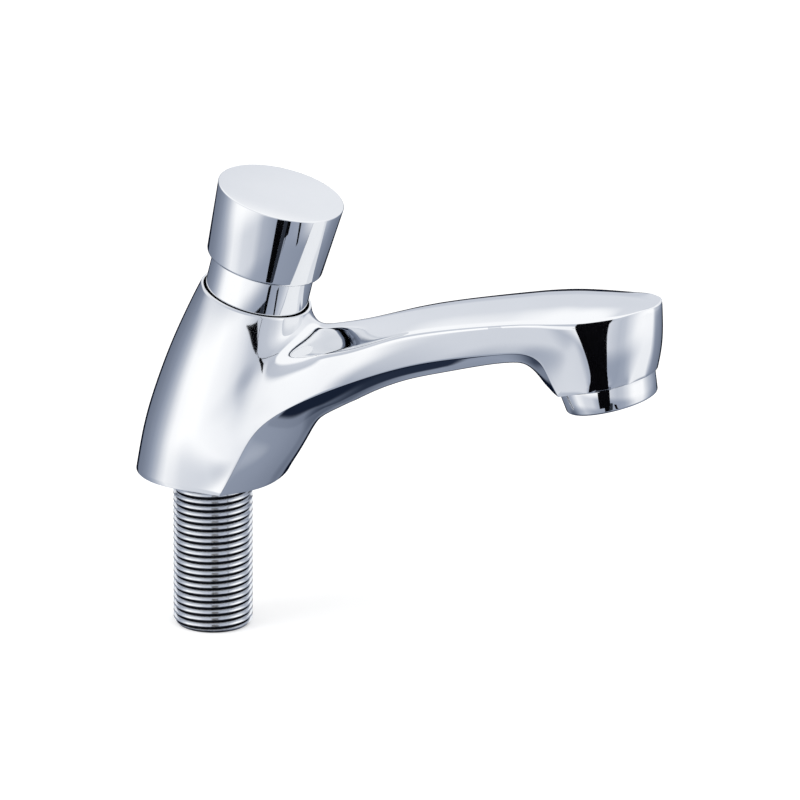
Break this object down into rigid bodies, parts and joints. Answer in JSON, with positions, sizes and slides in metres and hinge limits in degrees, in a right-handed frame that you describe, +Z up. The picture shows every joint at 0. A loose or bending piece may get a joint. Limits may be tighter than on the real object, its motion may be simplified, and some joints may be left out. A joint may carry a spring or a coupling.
{
  "type": "self-closing basin tap",
  "caption": "Chromed deck-mounted basin tap with a leaning pillar, arched spout, push button on a timed cartridge, aerator and threaded tail.",
  "frame": {"origin": "on the axis of the threaded tail, in the plane of the deck that the tap stands on", "axes": "+Z up from the deck, +X along the spout, the part is symmetric about the plane Y = 0"},
  "size_m": [0.1444, 0.0432, 0.1256],
  "materials": {
    "chrome_casting": "polished chrome on a brass casting",
    "chrome_sleeve": "polished chrome on turned brass",
    "chrome_button": "polished chrome on turned brass",
    "chrome_aerator": "polished chrome on turned brass",
    "plated_thread": "thin plating on a cut thread",
    "rubber_seal": "moulded rubber",
    "deck_rubber": "moulded rubber",
    "cartridge_plastic": "moulded acetal",
    "outlet_plastic": "moulded plastic",
    "brass": "turned brass",
    "steel": "stainless steel"
  },
  "bodies": {
    "tap": {"tap_body": "chrome_casting", "neck_sleeve": "chrome_sleeve", "bonnet_gasket": "rubber_seal", "cartridge_housing": "cartridge_plastic", "housing_seal": "rubber_seal", "valve_seat": "brass", "seat_gasket": "rubber_seal", "cartridge_gland": "brass", "spindle_seals": "rubber_seal", "inlet_strainer": "steel", "tail_shank": "plated_thread", "tail_seal": "rubber_seal", "deck_seal": "deck_rubber", "aerator_housing": "chrome_aerator", "aerator_gasket": "rubber_seal", "flow_straightener": "outlet_plastic", "lower_screen": "steel", "upper_screen": "steel", "diffuser_disc": "outlet_plastic", "return_spring": "steel"},
    "plunger": {"push_button": "chrome_button", "button_insert": "brass", "spindle": "brass", "timing_piston": "cartridge_plastic", "piston_cup_seal": "rubber_seal", "piston_clip": "steel", "washer_holder": "brass", "valve_washer": "rubber_seal", "washer_nut": "brass"}
  },
  "joints": [
    {"name": "button_press", "type": "slide", "parent": "tap", "child": "plunger", "axis": [-0.2368, 0, -0.9715], "range_m": [0, 0.006], "stiffness_N_per_m": 1500, "springref_m": -0.008, "deforming": ["return_spring"]}
  ]
}
